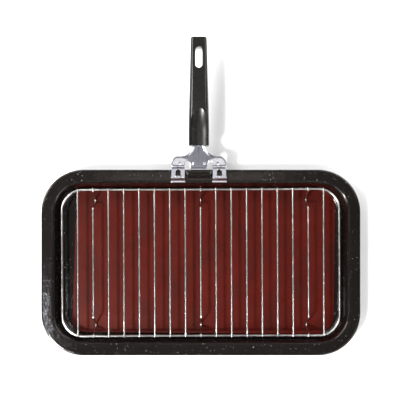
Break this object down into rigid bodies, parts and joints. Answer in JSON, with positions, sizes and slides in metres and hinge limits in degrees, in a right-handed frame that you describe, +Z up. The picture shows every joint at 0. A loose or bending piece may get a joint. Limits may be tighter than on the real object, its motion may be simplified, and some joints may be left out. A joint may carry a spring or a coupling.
{
  "type": "grill pan with wire rack",
  "caption": "Rectangular enamelled grill pan with a loose wire rack standing on a drip liner, and a hook-on clamp handle with a moulded grip.",
  "frame": {"origin": "centre of the pan's flat underside, on the surface it stands on", "axes": "+Z up, out of the open pan; +Y across the pan towards the handle; +X along the pan's length"},
  "size_m": [0.4, 0.3925, 0.0526],
  "materials": {
    "enamel": "gloss black vitreous enamel with fine white speckles",
    "liner": "semi-matt dark red coated sheet",
    "wire": "bright chromed wire",
    "clamp_steel": "satin zinc-plated pressed steel",
    "rivet_steel": "zinc-plated rivet",
    "screw_steel": "zinc-plated screw",
    "grip": "semi-gloss black moulded phenolic"
  },
  "bodies": {
    "pan": {"pan_shell": "enamel"},
    "liner": {"drip_liner": "liner"},
    "rack": {"rack_frame": "wire", "rack_rod_01": "wire", "rack_foot_rod_02": "wire", "rack_rod_03": "wire", "rack_rod_04": "wire", "rack_rod_05": "wire", "rack_rod_06": "wire", "rack_rod_07": "wire", "rack_rod_08": "wire", "rack_foot_rod_09": "wire", "rack_rod_10": "wire", "rack_rod_11": "wire", "rack_rod_12": "wire", "rack_rod_13": "wire", "rack_rod_14": "wire", "rack_rod_15": "wire", "rack_foot_rod_16": "wire", "rack_rod_17": "wire"},
    "handle": {"clamp_top_plate": "clamp_steel", "clamp_tongue_plate": "clamp_steel", "clamp_rivets": "rivet_steel", "handle_grip": "grip", "grip_screw": "screw_steel"}
  },
  "joints": [
    {"name": "liner_lift", "type": "slide", "parent": "pan", "child": "liner", "axis": [0, 0, 1], "range_m": [0, 0.06]},
    {"name": "rack_lift", "type": "slide", "parent": "liner", "child": "rack", "axis": [0, 0, 1], "range_m": [0, 0.08]},
    {"name": "handle_tilt", "type": "hinge", "parent": "pan", "child": "handle", "pos_m": [-0.0025, 0.1165, 0.03], "axis": [1, 0, 0], "range_deg": [0, 9]}
  ]
}
